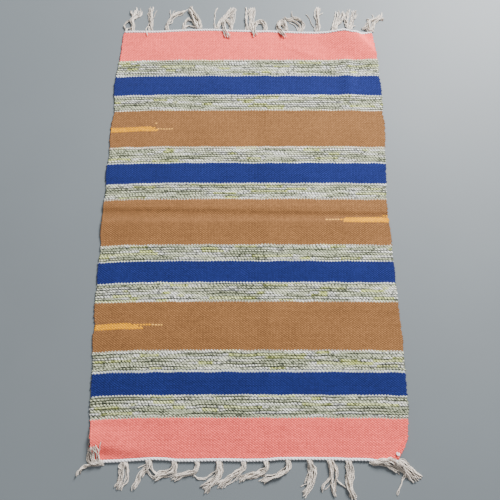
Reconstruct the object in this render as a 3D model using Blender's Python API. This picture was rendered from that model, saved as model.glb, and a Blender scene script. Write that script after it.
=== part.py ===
"""A striped cotton flat-woven rug with knotted tassels, lying on a floor.

The frame is in metres with +Z up. The origin is on the floor under the middle
of the cloth, +X is to the right and +Y is towards the far end.
"""

import math

import bmesh
import bpy

MM = 0.001

# Driving sizes.
HALF_LENGTH = 472.5 * MM
CLOTH_THICKNESS = 3.0 * MM
PIECE_GAP = 0.3 * MM
HEADING_WIDTH = 5.4 * MM
HEADING_HEIGHT = 4.0 * MM
HEADING_SHOULDER = 1.3 * MM

# Half widths of the cloth at stations along its length, in millimetres.
EDGE_COLUMNS = ("y", "left", "right")
EDGES = [
    (-473, 300, 289),
    (-455, 303, 299),
    (-420, 306, 304),
    (-340, 308, 306),
    (-264, 312, 306),
    (-190, 314, 304),
    (-110, 314, 301),
    (-40, 314, 300),
    (50, 314, 307),
    (151, 314, 302),
    (238, 311, 305),
    (328, 310, 304),
    (409, 303, 301),
    (473, 299, 294),
]

# Where the cloth stops at each end, at stations across its width, in millimetres.
END_COLUMNS = ("x", "far", "near")
ENDS = [
    (-315, 471.0, -472.0),
    (-170, 474.5, -473.0),
    (-60, 474.5, -472.3),
    (60, 472.5, -472.5),
    (180, 472.0, -471.5),
    (270, 472.5, -470.0),
    (310, 470.5, -467.0),
]

# Each fold lifts the cloth along a crest and falls away on both sides of it, in millimetres.
# Left and right are as seen walking along the crest.
FOLD_COLUMNS = (
    "name", "from_x", "from_y", "to_x", "to_y",
    "height_from", "height_to", "left_flank", "right_flank",
)
FOLDS = [
    ("far right hump", 303, 402, 235, 484, 5.0, 11.0, 82, 27),
    ("far right ripple", 232, 300, 228, 385, 3.0, 4.5, 26, 24),
    ("middle crease, far ridge", -330, 37, 330, 41, 1.8, 2.2, 26, 24),
    ("middle crease, near ridge", -330, -13, 330, -10, 1.6, 2.0, 24, 26),
    ("lengthwise crease", 41, -480, 43, 480, 0.9, 0.9, 20, 20),
    ("near left ridge", -306, -455, -168, -470, 8.5, 0.4, 44, 55),
    ("near right curl", 308, -452, 272, -484, 8.0, 6.0, 60, 20),
]

# Spacing of the cloth's grid, in shares of its half width and half length.
GRID_COLUMNS = ("start", "stop", "steps")
GRID_ACROSS = [
    (-1.0, -0.80, 3), (-0.80, 0.07, 5), (0.07, 0.20, 2), (0.20, 0.60, 4), (0.60, 1.0, 7),
]
GRID_ALONG = [
    (-1.0, -0.90, 4), (-0.90, -0.08, 5), (-0.08, 0.14, 8), (0.14, 0.60, 3), (0.60, 0.80, 4), (0.80, 1.0, 7),
]

# A tassel's locks leave its head and turn. A lean is the angle in degrees from straight
# out of the edge, towards +X, at the root, at each quarter of the length and at the tip.
TASSEL_COLUMNS = (
    "root", "length", "lean_root", "lean_quarter", "lean_half", "lean_three_quarters", "lean_tip",
    "tip_width",
)
FAR_TASSELS = [
    (-285, 62, 0, 10, 20, 32, 38, 24),
    (-237, 70, 3, 1, -1, -3, 0, 11),
    (-196, 62, -6, 8, 24, 46, 68, 12),
    (-156, 42, -4, 0, 6, 18, 30, 13),
    (-119, 70, -6, -14, -24, -32, -36, 12),
    (-77, 76, -4, 6, 30, 46, 40, 13),
    (-43, 76, 0, -8, -184, -181, -178, 11),
    (0, 68, 0, 2, 3, 3, 4, 15),
    (38, 76, 0, -8, -184, -181, -178, 11),
    (89, 76, 0, -8, -184, -184, -186, 11),
    (125, 60, 0, -14, -34, -54, -70, 12),
    (161, 70, 2, 2, 4, 7, 10, 11),
    (203, 58, 6, 14, 22, 28, 28, 24),
    (240, 58, 0, 4, 9, 12, 15, 24),
    (288, 66, -2, 12, 34, 56, 64, 18),
]
NEAR_TASSELS = [
    (-279, 54, -8, -80, -78, -44, -24, 12),
    (-233, 52, 12, 2, -12, -26, -35, 15),
    (-187, 62, -12, -46, -42, -32, -22, 12),
    (-140, 56, -4, -40, -64, -72, -70, 13),
    (-97, 48, 0, -40, -64, -74, -78, 12),
    (-56, 66, -4, -20, -38, -46, -42, 13),
    (-10, 56, -2, -36, -52, -58, -54, 12),
    (32, 66, 0, -42, -64, -68, -60, 12),
    (74, 64, 0, -40, -64, -70, -68, 12),
    (113, 66, 18, 16, -16, -30, -18, 14),
    (152, 60, 14, 12, 2, -2, 4, 30),
    (188, 74, -2, -2, 2, 8, 14, 14),
    (227, 50, 8, 80, 82, 72, 64, 11),
    (281, 56, 12, 48, 54, 54, 50, 13),
]

# A tassel's head and its locks.
HEAD_WIDTH = 11.6 * MM
HEAD_LENGTH = 8.0 * MM
HEAD_HEIGHT = 6.6 * MM
FRONT_HEIGHT = 3.2 * MM
LOCKS = 6
LOCK_WIDTH = 1.5 * MM
LOCK_HEIGHT = 1.9 * MM
TIP_TAPER = 0.6

# Neighbouring locks differ in length, down to this share of the tassel's.
SHORTEST_LOCK = 0.92
LOCK_ORDER_STEP = 5

# A straight lock has this many steps, and each bend of this many degrees adds one.
LEAST_STEPS = 4
BEND_PER_STEP = 22.0

# Locks from a lifted edge ease down to the floor within this length.
SETTLE_LENGTH = 24.0 * MM

# Locks that turn back lie over the heading. Both limits are leans in degrees,
# and both distances are from the heading's outer side.
TURN_BACK_START = 80.0
TURN_BACK_END = 125.0
RISE_START = 24.0 * MM
RISE_END = 8.0 * MM
LOCK_CLEARANCE = 0.7 * MM

# The head's sections behind its front: how far from the heading, how wide and how high.
SECTION_COLUMNS = ("depth", "width", "height")
HEAD_SECTIONS = [(0.58, 1.12, 1.0), (0.0, 0.78, 0.66)]


def rows(columns, table):
    """Gives a table's rows as dictionaries under its column names."""
    return [dict(zip(columns, row)) for row in table]


def ease(value):
    """Turns 0 to 1 into a soft step."""
    value = min(max(value, 0.0), 1.0)
    return value * value * (3.0 - 2.0 * value)


def read(table, key, column, value):
    """Reads a column of a table in straight runs between its stations."""
    if value <= table[0][key]:
        return table[0][column]
    for low, high in zip(table, table[1:]):
        if value <= high[key]:
            share = (value - low[key]) / (high[key] - low[key])
            return low[column] + (high[column] - low[column]) * share
    return table[-1][column]


EDGE_ROWS = rows(EDGE_COLUMNS, EDGES)
END_ROWS = rows(END_COLUMNS, ENDS)
FOLD_ROWS = rows(FOLD_COLUMNS, FOLDS)


def fold_lift(fold, x, y):
    """Gives the height that one fold adds at a place on the floor."""
    run_x = (fold["to_x"] - fold["from_x"]) * MM
    run_y = (fold["to_y"] - fold["from_y"]) * MM
    run = math.hypot(run_x, run_y)
    off_x = x - fold["from_x"] * MM
    off_y = y - fold["from_y"] * MM
    along = (off_x * run_x + off_y * run_y) / run
    side = (run_x * off_y - run_y * off_x) / run
    flank = (fold["left_flank"] if side > 0.0 else fold["right_flank"]) * MM
    share = min(max(along / run, 0.0), 1.0)
    height = fold["height_from"] + (fold["height_to"] - fold["height_from"]) * share
    beyond = max(-along, along - run, 0.0)
    return height * MM * (1.0 - ease(math.hypot(side, beyond) / flank))


def lift(x, y):
    """Gives the height of the cloth's underside over the floor."""
    return sum(fold_lift(fold, x, y) for fold in FOLD_ROWS)


def stations(pieces):
    """Lists the stations of one direction of the grid, from -1 to 1."""
    values = [pieces[0][0]]
    for piece in rows(GRID_COLUMNS, pieces):
        step = (piece["stop"] - piece["start"]) / piece["steps"]
        values += [piece["start"] + step * (count + 1) for count in range(piece["steps"])]
    return values


def cloth_end(x, end):
    """Gives the y of the cloth's end at x, with end 1 for far and -1 for near."""
    return read(END_ROWS, "x", "far" if end > 0 else "near", x / MM) * MM


def cloth_place(across, along):
    """Gives the place on the floor of a share of the cloth's half width and half length."""
    middle_y = HALF_LENGTH * along / MM
    x = read(EDGE_ROWS, "y", "right" if across > 0.0 else "left", middle_y) * MM * across
    return x, abs(along) * cloth_end(x, 1 if along > 0.0 else -1)


def heading_side(x, end):
    """Gives the y of the heading's outer side at x."""
    return cloth_end(x, end) + end * (PIECE_GAP + HEADING_WIDTH)


def material(name, colour, roughness):
    """Makes a plain cotton material."""
    made = bpy.data.materials.new(name)
    made.use_nodes = True
    shader = made.node_tree.nodes["Principled BSDF"]
    shader.inputs["Base Color"].default_value = (*colour, 1.0)
    shader.inputs["Roughness"].default_value = roughness
    shader.inputs["Metallic"].default_value = 0.0
    return made


def add_object(name, bm, finish):
    """Turns a closed mesh into a named object at the origin."""
    bmesh.ops.recalc_face_normals(bm, faces=bm.faces)
    mesh = bpy.data.meshes.new(name)
    bm.to_mesh(mesh)
    bm.free()
    mesh.materials.append(finish)
    bpy.context.collection.objects.link(bpy.data.objects.new(name, mesh))


def make_field(finish):
    """Makes the woven cloth: a grid laid on its folds, then raised by its thickness."""
    across = stations(GRID_ACROSS)
    along = stations(GRID_ALONG)
    bm = bmesh.new()
    bmesh.ops.create_grid(bm, x_segments=len(across) - 1, y_segments=len(along) - 1, size=1.0)
    for vertex in bm.verts:
        column = round((vertex.co.x + 1.0) / 2.0 * (len(across) - 1))
        row = round((vertex.co.y + 1.0) / 2.0 * (len(along) - 1))
        x, y = cloth_place(across[column], along[row])
        vertex.co = (x, y, lift(x, y))
    bmesh.ops.triangulate(bm, faces=bm.faces)
    raised = bmesh.ops.extrude_face_region(bm, geom=bm.faces[:])["geom"]
    corners = [item for item in raised if isinstance(item, bmesh.types.BMVert)]
    bmesh.ops.translate(bm, verts=corners, vec=(0.0, 0.0, CLOTH_THICKNESS))
    add_object("rug_field", bm, finish)


def make_heading(name, end, finish):
    """Makes the white woven edge of one end: its section, extruded along the cloth."""
    profile = [
        (0.0, 0.0),
        (0.0, HEADING_HEIGHT - HEADING_SHOULDER),
        (HEADING_SHOULDER, HEADING_HEIGHT),
        (HEADING_WIDTH - HEADING_SHOULDER, HEADING_HEIGHT),
        (HEADING_WIDTH, HEADING_HEIGHT - HEADING_SHOULDER),
        (HEADING_WIDTH, 0.0),
    ]
    bm = bmesh.new()
    face = bm.faces.new([bm.verts.new((0.0, out, up)) for out, up in profile])
    for count, share in enumerate(stations(GRID_ACROSS)):
        if count:
            face = extrude(bm, face)
        x, y = cloth_place(share, end)
        for vertex, (out, up) in zip(face.verts, profile):
            vertex.co = (x, y + end * (PIECE_GAP + out), lift(x, y) + up)
    add_object(name, bm, finish)


def extrude(bm, face):
    """Extrudes one face, and gives the new face with its corners in the same order."""
    moved = bmesh.ops.extrude_face_region(bm, geom=[face, *face.edges])["geom"]
    return next(item for item in moved if isinstance(item, bmesh.types.BMFace))


def leans_of(tassel):
    """Lists a tassel's leans from its root to its tip."""
    return [tassel[column] for column in TASSEL_COLUMNS if column.startswith("lean")]


def tassel_path(tassel, end, start_y):
    """Walks along a tassel in steps of a millimetre: place and lean at each."""
    leans = leans_of(tassel)
    runs = len(leans) - 1
    x = tassel["root"] * MM
    y = start_y
    path = []
    for count in range(tassel["length"] + 1):
        place = min(count / tassel["length"], 0.999) * runs
        low = int(place)
        lean = math.radians(leans[low] + (leans[low + 1] - leans[low]) * (place - low))
        path.append((x, y, lean))
        x += math.sin(lean) * MM
        y += math.cos(lean) * MM * end
    return path


def lock_base(x, y, lean, walked, root_lift, end):
    """Gives the height of a lock's underside: down to the floor, or up over the heading."""
    floor = root_lift * (1.0 - ease(walked / SETTLE_LENGTH))
    turned = ease((abs(math.degrees(lean)) - TURN_BACK_START) / (TURN_BACK_END - TURN_BACK_START))
    away = end * (y - heading_side(x, end))
    risen = ease((RISE_START - away) / (RISE_START - RISE_END))
    over = HEADING_HEIGHT + LOCK_CLEARANCE + lift(x, y)
    return floor + (over - floor) * turned * risen


def head_ring(bm, middle, y, base, width, height):
    """Makes a section of a tassel's head: a flat underside and a crowned top."""
    low = []
    high = []
    for count in range(LOCKS + 1):
        across = count / LOCKS - 0.5
        low.append(bm.verts.new((middle + across * width, y, base)))
    for count in range(LOCKS):
        across = (count + 0.5) / LOCKS - 0.5
        crown = 0.5 + 0.5 * math.sqrt(1.0 - (2.0 * across) ** 2)
        high.append(bm.verts.new((middle + across * width, y, base + height * crown)))
    return low, high


def make_lock(bm, face, tassel, path, offset, reach, root_lift, end):
    """Draws one lock out of the head's front along the tassel's path."""
    leans = leans_of(tassel)
    bend = sum(abs(after - before) for before, after in zip(leans, leans[1:]))
    steps = LEAST_STEPS + round(bend / BEND_PER_STEP)
    tip_spread = tassel["tip_width"] * MM / HEAD_WIDTH
    for count in range(1, steps + 1):
        walked = round(reach * tassel["length"] * count / steps)
        x, y, lean = path[walked]
        spread = offset * HEAD_WIDTH * (1.0 + (tip_spread - 1.0) * walked / tassel["length"])
        x += spread * math.cos(lean)
        y -= spread * math.sin(lean) * end
        base = lock_base(x, y, lean, walked * MM, root_lift, end)
        size = TIP_TAPER if count == steps else 1.0
        side = size * LOCK_WIDTH / 2.0
        face = extrude(bm, face)
        for vertex, (out, up) in zip(face.verts, [(-side, 0.0), (side, 0.0), (0.0, size * LOCK_HEIGHT)]):
            vertex.co = (x + out * math.cos(lean), y - out * math.sin(lean) * end, base + up)


def make_tassel(name, tassel, end, finish):
    """Makes a tassel: a knotted head, and locks drawn out of its front."""
    middle = tassel["root"] * MM
    sides = [end * heading_side(middle + part * HEAD_WIDTH, end) for part in (-0.5, 0.0, 0.5)]
    back = end * (max(sides) + PIECE_GAP)
    front = back + end * HEAD_LENGTH
    base = lift(middle, heading_side(middle, end))
    bm = bmesh.new()

    # The front is a zigzag of triangles, and the upright ones are the locks' roots.
    low, high = head_ring(bm, middle, front, base, HEAD_WIDTH, FRONT_HEIGHT)
    roots = [bm.faces.new((low[count], low[count + 1], high[count])) for count in range(LOCKS)]
    for count in range(LOCKS - 1):
        bm.faces.new((high[count], low[count + 1], high[count + 1]))

    # The head swells behind its front, and narrows again at the heading.
    ring = low + high[::-1]
    for section in rows(SECTION_COLUMNS, HEAD_SECTIONS):
        y = back + end * HEAD_LENGTH * section["depth"]
        width = HEAD_WIDTH * section["width"]
        low, high = head_ring(bm, middle, y, base, width, HEAD_HEIGHT * section["height"])
        following = low + high[::-1]
        for count in range(len(ring)):
            bm.faces.new((ring[count - 1], ring[count], following[count], following[count - 1]))
        ring = following
    bm.faces.new(ring)

    path = tassel_path(tassel, end, front)
    for count, root in enumerate(roots):
        offset = (count + 0.5) / LOCKS - 0.5
        reach = 1.0 - (1.0 - SHORTEST_LOCK) * ((count * LOCK_ORDER_STEP + tassel["length"]) % LOCKS) / LOCKS
        make_lock(bm, root, tassel, path, offset, reach, base, end)
    add_object(name, bm, finish)


def main():
    """Makes every piece of the rug."""
    for item in list(bpy.data.objects):
        bpy.data.objects.remove(item)
    striped = material("striped cotton", (0.42, 0.30, 0.25), 0.9)
    white = material("white cotton heading", (0.82, 0.78, 0.76), 0.85)
    fringe = material("natural cotton fringe", (0.66, 0.58, 0.50), 0.85)
    make_field(striped)
    make_heading("heading_far", 1, white)
    make_heading("heading_near", -1, white)
    for count, tassel in enumerate(rows(TASSEL_COLUMNS, FAR_TASSELS), start=1):
        make_tassel(f"tassel_far_{count:02d}", tassel, 1, fringe)
    for count, tassel in enumerate(rows(TASSEL_COLUMNS, NEAR_TASSELS), start=1):
        make_tassel(f"tassel_near_{count:02d}", tassel, -1, fringe)


main()
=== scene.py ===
"""Dresses a striped cotton flat-woven rug with knotted tassels, seen from above on a pale floor."""

import math
import random

import bmesh
import bpy
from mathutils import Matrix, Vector, noise


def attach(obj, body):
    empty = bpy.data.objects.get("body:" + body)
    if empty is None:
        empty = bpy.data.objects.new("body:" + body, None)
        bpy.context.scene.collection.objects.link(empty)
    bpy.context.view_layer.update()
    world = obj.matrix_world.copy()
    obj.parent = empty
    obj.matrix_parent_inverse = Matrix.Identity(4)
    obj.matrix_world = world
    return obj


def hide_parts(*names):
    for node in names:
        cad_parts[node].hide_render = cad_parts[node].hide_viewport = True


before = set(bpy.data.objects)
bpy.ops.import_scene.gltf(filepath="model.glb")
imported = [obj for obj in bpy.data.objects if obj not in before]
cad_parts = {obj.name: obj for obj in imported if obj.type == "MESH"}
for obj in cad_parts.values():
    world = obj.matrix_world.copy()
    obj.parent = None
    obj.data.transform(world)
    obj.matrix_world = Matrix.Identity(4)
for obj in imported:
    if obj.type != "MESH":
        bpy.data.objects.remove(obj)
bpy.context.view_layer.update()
MM = 0.001


# The room. A plain pale floor with a satin seal, a large soft lamp beyond the rug on the
# right, pale walls all round, and a camera held over the near half of the rug.

def paint(code):
    """Turns a hex colour, as a screen shows it, into linear light."""
    shares = [int(code[place:place + 2], 16) / 255.0 for place in (1, 3, 5)]
    light = [share / 12.92 if share <= 0.04045 else ((share + 0.055) / 1.055) ** 2.4 for share in shares]
    return (*light, 1.0)


def add_node(tree, kind, settings=None, links=None):
    """Adds a node with its own settings, its sockets' values, and links into its sockets."""
    node = tree.nodes.new(kind)
    for name, value in (settings or {}).items():
        if isinstance(name, int) or name in node.inputs:
            node.inputs[name].default_value = value
        else:
            setattr(node, name, value)
    for name, source in (links or {}).items():
        tree.links.new(source, node.inputs[name])
    return node


def start_finish(name, roughness, sheen):
    """Starts a material, and gives it with its tree and its shader."""
    made = bpy.data.materials.new(name)
    made.use_nodes = True
    shader = made.node_tree.nodes["Principled BSDF"]
    shader.inputs["Roughness"].default_value = roughness
    shader.inputs["Sheen Weight"].default_value = sheen
    shader.inputs["Sheen Roughness"].default_value = 0.5
    return made, made.node_tree, shader


def add_piece(name, bm, finish, smooth):
    """Turns a mesh into a named object at the origin."""
    for face in bm.faces:
        face.smooth = smooth
    mesh = bpy.data.meshes.new(name)
    bm.to_mesh(mesh)
    bm.free()
    mesh.materials.append(finish)
    piece = bpy.data.objects.new(name, mesh)
    bpy.context.scene.collection.objects.link(piece)
    return piece


# Satin-sealed floor: faint cloudy patches, and a soft reflection of the lamp.
FLOOR_REACH = 4.0
FLOOR_CLOUDS_PER_METRE = 3.0
floor_finish, tree, shader = start_finish("satin_sealed_floor", 0.6, 0.0)
where = add_node(tree, "ShaderNodeTexCoord")
clouds = add_node(
    tree, "ShaderNodeTexNoise", {"Scale": FLOOR_CLOUDS_PER_METRE, "Detail": 4.0},
    {"Vector": where.outputs["Object"]},
)
tone = add_node(
    tree, "ShaderNodeMix",
    {"data_type": "RGBA", 6: paint("#686F73"), 7: paint("#72797D")},
    {0: clouds.outputs["Fac"]},
)
tree.links.new(tone.outputs[2], shader.inputs["Base Color"])
bm = bmesh.new()
bmesh.ops.create_grid(bm, x_segments=8, y_segments=8, size=FLOOR_REACH)
floor = add_piece("floor", bm, floor_finish, False)

WALL_LIGHT = 0.42
world = bpy.data.worlds.new("pale walls")
world.use_nodes = True
walls = world.node_tree.nodes["Background"]
walls.inputs["Color"].default_value = paint("#EEF1F6")
walls.inputs["Strength"].default_value = WALL_LIGHT
bpy.context.scene.world = world

for name, place, size, power in (
    ("window lamp", (1.4, 2.0, 1.7), 1.0, 272.0),
    ("fill lamp", (-1.9, -1.2, 2.2), 2.5, 14.0),
):
    lamp = bpy.data.lights.new(name, "AREA")
    lamp.size = size
    lamp.energy = power
    hung = bpy.data.objects.new(name, lamp)
    hung.location = place
    hung.rotation_euler = (-Vector(place)).to_track_quat("-Z", "Y").to_euler()
    bpy.context.scene.collection.objects.link(hung)

# The camera is held a metre up, and tilted a little ahead.
CAMERA_PLACE = (0.0025, -0.3473, 1.0137)
CAMERA_TILT = math.radians(15.49)
lens = bpy.data.cameras.new("camera")
lens.lens = 36.0
lens.sensor_width = 36.0
camera = bpy.data.objects.new("camera", lens)
camera.location = CAMERA_PLACE
camera.rotation_euler = (CAMERA_TILT, 0.0, 0.0)
bpy.context.scene.collection.objects.link(camera)
bpy.context.scene.camera = camera


# The cloth. One flat weave of thick soft cotton weft beaten down over hidden warps, with
# cross stripes that are woven in, lying on the floor with a few low folds.
HALF_LENGTH = 472.5 * MM
CLOTH_THICKNESS = 3.0 * MM
CLOTH_CELLS_ACROSS = 150
CLOTH_CELLS_ALONG = 224
RIM_ANGLE = math.radians(50.0)
RIPPLE_HEIGHT = 0.25 * MM
RIPPLES_PER_METRE = 16.0
CREST_WANDER = 8.0 * MM
WANDERS_PER_METRE = 22.0
SWELLS_PER_METRE = 30.0

# Half widths in millimetres at places along the cloth: place, left, right.
EDGES = [
    (-473, 296, 279), (-465, 297, 284), (-457, 297, 291), (-448, 297, 297), (-440, 298, 301),
    (-425, 300, 303), (-409, 302, 304), (-391, 305, 307), (-336, 307, 307), (-300, 306, 307),
    (-282, 309, 307), (-245, 312, 307), (-225, 308, 305), (-205, 312, 304), (-160, 313, 303),
    (-143, 310, 302), (-120, 313, 302), (-98, 313, 301), (-79, 310, 300), (-57, 310, 300),
    (-35, 313, 300), (-13, 312, 298), (9, 312, 296), (35, 312, 296), (54, 309, 296), (76, 309, 298),
    (98, 312, 300), (120, 312, 300), (143, 308, 302), (165, 308, 300), (188, 310, 304), (232, 309, 305),
    (256, 304, 302), (280, 305, 304), (305, 309, 304), (330, 310, 304), (356, 307, 300), (383, 304, 300),
    (411, 300, 297), (440, 299, 296), (473, 297, 293),
]

# Where the cloth stops in millimetres at places across it: place, far end, near end.
ENDS = [
    (-315, 469.5, -476.0), (-272, 470.3, -476.0), (-240, 469.9, -474.7), (-210, 470.4, -472.7),
    (-180, 472.5, -470.9), (-158, 473.7, -471.6), (-136, 474.6, -474.0), (-100, 475.4, -474.0),
    (-76, 475.4, -473.3), (-43, 472.8, -473.1), (-5, 471.9, -474.0), (28, 470.4, -473.5),
    (57, 470.6, -471.1), (90, 469.2, -471.0), (110, 467.8, -471.0), (148, 467.3, -471.3),
    (167, 467.0, -471.5), (186, 465.6, -472.6), (206, 466.7, -472.5), (225, 468.1, -473.0),
    (244, 463.2, -475.4), (263, 463.2, -476.1), (282, 466.8, -475.5), (296, 469.5, -473.0),
]

# Folds in millimetres: the crest's two ends, its height at each, how far it falls away to the
# left and right of someone walking along it, and how uneven it is.
FOLDS = [
    (303, 402, 235, 484, 6.0, 12.0, 82, 19, 0.10),
    (86, 432, 165, 397, 0.6, 1.8, 16, 8, 0.30),
    (232, 300, 228, 385, 3.0, 4.5, 26, 24, 0.15),
    (-330, 27, 330, 16, 3.1, 2.8, 40, 8, 0.30),
    (-330, -6, 330, -5, 2.8, 2.2, 13, 40, 0.25),
    (41, -480, 43, 480, 0.9, 0.9, 20, 20, 0.30),
    (-306, -446, -168, -465, 9.0, 0.8, 44, 20, 0.12),
    (305, -449, 281, -474, 7.5, 7.0, 60, 8, 0.08),
]


def ease(value):
    """Turns 0 to 1 into a soft step."""
    value = min(max(value, 0.0), 1.0)
    return value * value * (3.0 - 2.0 * value)


def read(table, column, value):
    """Reads a column of a table in straight runs between its places."""
    if value <= table[0][0]:
        return table[0][column]
    for low, high in zip(table, table[1:]):
        if value <= high[0]:
            return low[column] + (high[column] - low[column]) * (value - low[0]) / (high[0] - low[0])
    return table[-1][column]


def lift(x, y):
    """Gives the height of the cloth's underside over the floor."""
    ripple = noise.noise(Vector((x * RIPPLES_PER_METRE, y * RIPPLES_PER_METRE, 3.0)))
    total = RIPPLE_HEIGHT * (1.0 + ripple)
    for from_x, from_y, to_x, to_y, height_from, height_to, left, right, uneven in FOLDS:
        run = Vector((to_x - from_x, to_y - from_y)) * MM
        off = Vector((x - from_x * MM, y - from_y * MM))
        along = off.dot(run) / run.length
        side = run.cross(off) / run.length
        side += uneven * CREST_WANDER * noise.noise(Vector((along * WANDERS_PER_METRE, from_y, 0.0)))
        share = min(max(along / run.length, 0.0), 1.0)
        height = (height_from + (height_to - height_from) * share) * MM
        height *= 1.0 + uneven * noise.noise(Vector((along * SWELLS_PER_METRE, from_x, 5.0)))
        beyond = max(-along, along - run.length, 0.0)
        total += height * (1.0 - ease(math.hypot(side, beyond) / ((left if side > 0.0 else right) * MM)))
    return total


def cloth_end(x, end):
    """Gives the y of the cloth's end at x, with end 1 for far and -1 for near."""
    return read(ENDS, 1 if end > 0 else 2, x / MM) * MM


def cloth_place(across, along):
    """Gives the place on the floor of a share of the cloth's half width and half length."""
    x = read(EDGES, 2 if across > 0.0 else 1, HALF_LENGTH * along / MM) * MM * across
    return x, abs(along) * cloth_end(x, 1 if along > 0.0 else -1)


# The rows bow towards the near end at both edges: how far out each edge is, and its bow.
LEFT_REACH = 314.0 * MM
LEFT_BOW = 4.5 * MM
RIGHT_REACH = 310.0 * MM
RIGHT_BOW = 2.0 * MM


def weave_place(x, y):
    """Gives a place in the weave's own metres, where every row is straight."""
    reach, bow = (RIGHT_REACH, RIGHT_BOW) if x > 0.0 else (LEFT_REACH, LEFT_BOW)
    return x, y + (x / reach) ** 4 * bow


# Cross stripes in millimetres along the weave: yarn, from, to.
STRIPES = [
    ("pink", 394, 480), ("blend", 351, 394), ("blue", 303.5, 351), ("blend", 262, 303.5), ("tan", 171, 262),
    ("blend", 131, 171), ("blue", 84, 131), ("blend", 47, 84), ("tan", -54, 47), ("blend", -92, -54),
    ("blue", -135.5, -92), ("blend", -176, -135.5), ("tan", -273, -176), ("blend", -315, -273),
    ("blue", -359, -315), ("blend", -401, -359), ("pink", -480, -401),
]
YARN_COLOURS = {
    "pink": "#FF655D", "blue": "#1D2763", "tan": "#8A5F39", "gold": "#E89B00", "pale": "#E2A44E",
}

# Short rows of gold and pale weft beside an edge: yarn, place along the weave, from, to.
SHORT_ROWS = [
    ("gold", 221, -320, -218), ("gold", 218.75, -320, -212), ("gold", 216.5, -320, -214),
    ("gold", 214.25, -320, -206), ("gold", 212, -320, -203), ("pale", 216.5, -206, -168),
    ("pale", 230, -212, -208),
    ("gold", 4.5, 205, 320), ("gold", 2.25, 206, 320), ("gold", 0, 196, 320), ("gold", -2.25, 203, 320),
    ("gold", -4.5, 200, 320), ("pale", 0, 160, 196), ("gold", 9, 288, 320),
    ("gold", -220.5, -320, -234), ("gold", -222.75, -320, -222), ("gold", -225, -320, -226),
    ("gold", -227.25, -320, -216), ("gold", -229.5, -320, -212), ("gold", -222.75, -222, -196),
    ("pale", -222.75, -196, -172),
]
SHORT_ROW_HALF = 1.2 * MM
MARGIN_WIDTH = 2.3 * MM

# Cotton weft-faced plain weave: every row goes over one warp and under the next, so it shows
# as rows of matt beads set like bricks, soft to light, with painted shade in the pits between
# them. Beads, strokes and rows are drawn coarser than the real ones, which don't show from here.
BEAD_WIDTH = 6.15 * MM
BEAD_HEIGHT = 4.5 * MM
BEAD_RELIEF = 0.8 * MM
STROKE_PITCH = 6.4 * MM
ROW_HEIGHT = 5.2 * MM
SWAY = (6.0 * MM, 4.0 * MM, 0.0)
SWAYS_PER_METRE = 24.0
BENDS_PER_METRE = (9.0, 38.0, 0.0)
STREAKS_PER_METRE = 9.5
PATCHES_PER_METRE = 14.0
GRAINS_PER_METRE = 150.0
weave_finish, tree, shader = start_finish("striped_cotton_flat_weave", 0.92, 0.05)
shader.inputs["Specular IOR Level"].default_value = 0.1
woven = add_node(tree, "ShaderNodeUVMap", {"uv_map": "weave"})

# The rows and warps wander a little.
sway = add_node(
    tree, "ShaderNodeTexNoise", {"noise_dimensions": "2D", "Scale": SWAYS_PER_METRE, "Detail": 2.0},
    {"Vector": woven.outputs["UV"]},
)
centred = add_node(
    tree, "ShaderNodeVectorMath", {"operation": "SUBTRACT", 1: (0.5, 0.5, 0.5)},
    {0: sway.outputs["Color"]},
)
swayed = add_node(
    tree, "ShaderNodeVectorMath", {"operation": "MULTIPLY_ADD", 1: SWAY},
    {0: centred.outputs["Vector"], 2: woven.outputs["UV"]},
)
counts = add_node(
    tree, "ShaderNodeVectorMath", {"operation": "DIVIDE", 1: (BEAD_WIDTH, BEAD_HEIGHT, 1.0)},
    {0: swayed.outputs["Vector"]},
)

# Each place belongs to the nearer of two sets of beads, half a bead apart both ways.
locals_of = []
reaches = []
for shift in (0.0, 0.5):
    shifted = add_node(
        tree, "ShaderNodeVectorMath", {"operation": "ADD", 1: (shift, shift, 0.0)},
        {0: counts.outputs["Vector"]},
    )
    share = add_node(
        tree, "ShaderNodeVectorMath", {"operation": "FRACTION"}, {0: shifted.outputs["Vector"]},
    )
    local = add_node(
        tree, "ShaderNodeVectorMath", {"operation": "SUBTRACT", 1: (0.5, 0.5, 0.0)},
        {0: share.outputs["Vector"]},
    )
    reach = add_node(tree, "ShaderNodeVectorMath", {"operation": "LENGTH"}, {0: local.outputs["Vector"]})
    locals_of.append(local)
    reaches.append(reach)
nearer = add_node(
    tree, "ShaderNodeMath", {"operation": "LESS_THAN"},
    {0: reaches[1].outputs["Value"], 1: reaches[0].outputs["Value"]},
)
in_bead = add_node(
    tree, "ShaderNodeMix", {"data_type": "VECTOR"},
    {0: nearer.outputs[0], 4: locals_of[0].outputs["Vector"], 5: locals_of[1].outputs["Vector"]},
)
middle = add_node(
    tree, "ShaderNodeVectorMath", {"operation": "SUBTRACT"},
    {0: counts.outputs["Vector"], 1: in_bead.outputs[1]},
)
nudged = add_node(
    tree, "ShaderNodeVectorMath", {"operation": "ADD", 1: (0.1, 0.1, 0.0)}, {0: middle.outputs["Vector"]},
)
bead = add_node(
    tree, "ShaderNodeVectorMath", {"operation": "SNAP", 1: (0.5, 0.5, 1.0)}, {0: nudged.outputs["Vector"]},
)
bead_metres = add_node(
    tree, "ShaderNodeVectorMath", {"operation": "MULTIPLY", 1: (BEAD_WIDTH, BEAD_HEIGHT, 1.0)},
    {0: bead.outputs["Vector"]},
)
bead_at = add_node(tree, "ShaderNodeSeparateXYZ", {}, {0: bead_metres.outputs["Vector"]})

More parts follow.
